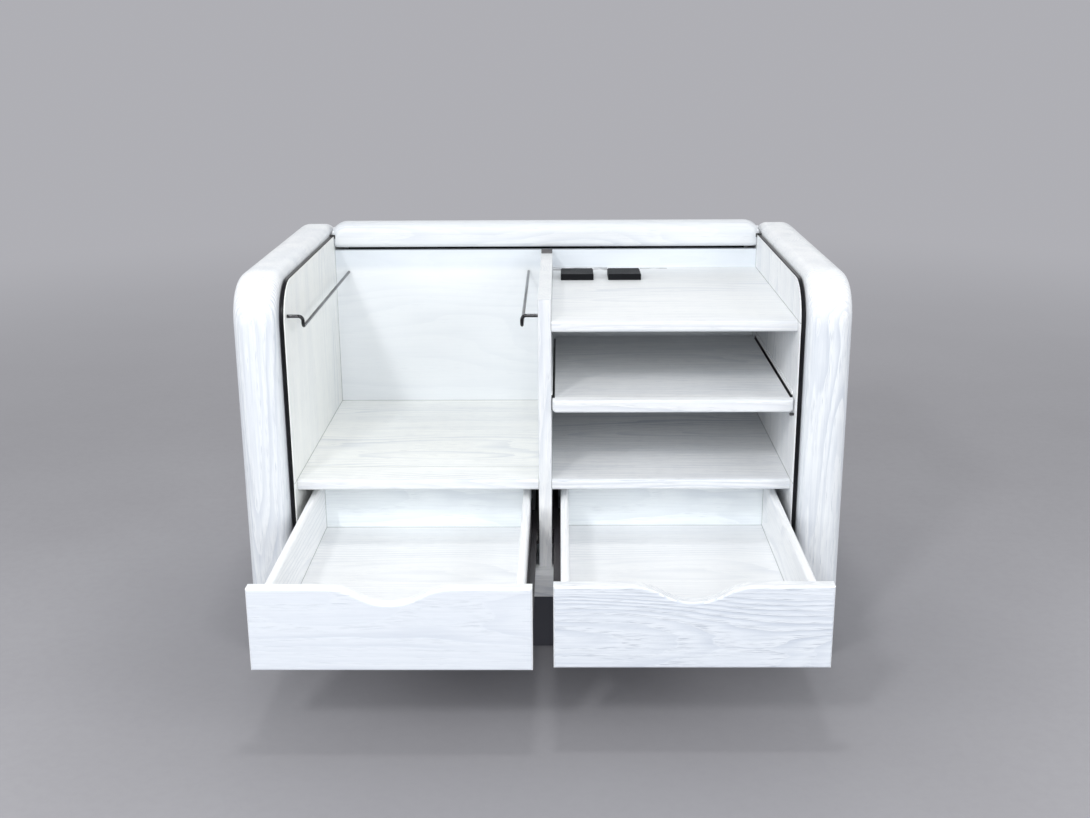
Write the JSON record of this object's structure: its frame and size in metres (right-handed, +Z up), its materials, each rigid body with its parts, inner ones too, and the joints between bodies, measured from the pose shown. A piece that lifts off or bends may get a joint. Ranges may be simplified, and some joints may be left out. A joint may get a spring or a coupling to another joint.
{
  "type": "roll-front desk cabinet",
  "caption": "Low roll-front desk cabinet with rounded side panels, a hanging-file bay, shelves with one pull-out, two roller drawers and a slatted curtain.",
  "frame": {"origin": "on the floor, half way between the side panels and half way between their front and rear edges", "axes": "+X to the right along the desk's width, +Y to the back, +Z up"},
  "size_m": [0.869, 0.8755, 0.586],
  "materials": {
    "white_ash": "white-washed ash, satin",
    "track_plastic": "glossy black",
    "plinth_black": "black stain, satin",
    "glide_plastic": "matte black",
    "rod_chrome": "polished",
    "block_black": "matte black",
    "black_steel": "black enamel",
    "runner_steel": "dark brown enamel",
    "nylon": "white nylon",
    "cloth": "dark canvas"
  },
  "bodies": {
    "carcass": {"left_side_panel": "white_ash", "right_side_panel": "white_ash", "left_inner_wall": "white_ash", "right_inner_wall": "white_ash", "left_track": "track_plastic", "right_track": "track_plastic", "divider": "white_ash", "bay_floor": "white_ash", "right_lower_shelf": "white_ash", "right_top_shelf": "white_ash", "inner_back_panel": "white_ash", "bottom_board": "white_ash", "outer_back_panel": "white_ash", "bottom_front_rail": "white_ash", "plinth": "plinth_black", "floor_glides": "glide_plastic", "left_file_rod": "rod_chrome", "right_file_rod": "rod_chrome", "left_shelf_block": "block_black", "right_shelf_block": "block_black", "pull_shelf_guides": "black_steel", "left_cabinet_runners": "runner_steel", "right_cabinet_runners": "runner_steel", "curtain_slats": "white_ash", "curtain_cloth": "cloth"},
    "pull_shelf": {"pull_out_shelf": "white_ash", "pull_shelf_slides": "black_steel"},
    "lead_bar": {"curtain_bar": "white_ash", "bar_shoes": "glide_plastic"},
    "left_drawer": {"left_drawer_front": "white_ash", "left_drawer_left_side": "white_ash", "left_drawer_right_side": "white_ash", "left_drawer_back": "white_ash", "left_drawer_floor": "white_ash", "left_drawer_rails": "runner_steel"},
    "left_fixed_rollers": {"left_cabinet_rollers": "nylon"},
    "left_riding_rollers": {"left_drawer_rear_rollers": "nylon"},
    "right_drawer": {"right_drawer_front": "white_ash", "right_drawer_left_side": "white_ash", "right_drawer_right_side": "white_ash", "right_drawer_back": "white_ash", "right_drawer_floor": "white_ash", "right_drawer_rails": "runner_steel"},
    "right_fixed_rollers": {"right_cabinet_rollers": "nylon"},
    "right_riding_rollers": {"right_drawer_rear_rollers": "nylon"}
  },
  "joints": [
    {"name": "left_drawer_slide", "type": "slide", "parent": "carcass", "child": "left_drawer", "axis": [0, -1, 0], "range_m": [-0.278, 0]},
    {"name": "left_fixed_roller_spin", "type": "hinge", "parent": "carcass", "child": "left_fixed_rollers", "pos_m": [-0.186, -0.246, 0.1763], "axis": [1, 0, 0], "range_deg": [-1770, 0]},
    {"name": "left_riding_roller_spin", "type": "hinge", "parent": "left_drawer", "child": "left_riding_rollers", "pos_m": [-0.186, -0.1885, 0.1763], "axis": [1, 0, 0], "range_deg": [-1770, 0]},
    {"name": "right_drawer_slide", "type": "slide", "parent": "carcass", "child": "right_drawer", "axis": [0, -1, 0], "range_m": [-0.271, 0.007]},
    {"name": "right_fixed_roller_spin", "type": "hinge", "parent": "carcass", "child": "right_fixed_rollers", "pos_m": [0.189, -0.246, 0.1763], "axis": [1, 0, 0], "range_deg": [-1725.3, 44.6]},
    {"name": "right_riding_roller_spin", "type": "hinge", "parent": "right_drawer", "child": "right_riding_rollers", "pos_m": [0.189, -0.1815, 0.1763], "axis": [1, 0, 0], "range_deg": [-1725.3, 44.6]},
    {"name": "pull_shelf_slide", "type": "slide", "parent": "carcass", "child": "pull_shelf", "axis": [0, -1, 0], "range_m": [-0.006, 0.3]},
    {"name": "curtain_slide", "type": "slide", "parent": "carcass", "child": "lead_bar", "axis": [0, -1, 0], "range_m": [0, 0.37]}
  ],
  "couplings": [
    {"joint": "left_fixed_roller_spin", "follows": "left_drawer_slide", "rad_per_m": 111.11},
    {"joint": "left_riding_roller_spin", "follows": "left_drawer_slide", "rad_per_m": 111.11},
    {"joint": "right_fixed_roller_spin", "follows": "right_drawer_slide", "rad_per_m": 111.11},
    {"joint": "right_riding_roller_spin", "follows": "right_drawer_slide", "rad_per_m": 111.11}
  ]
}
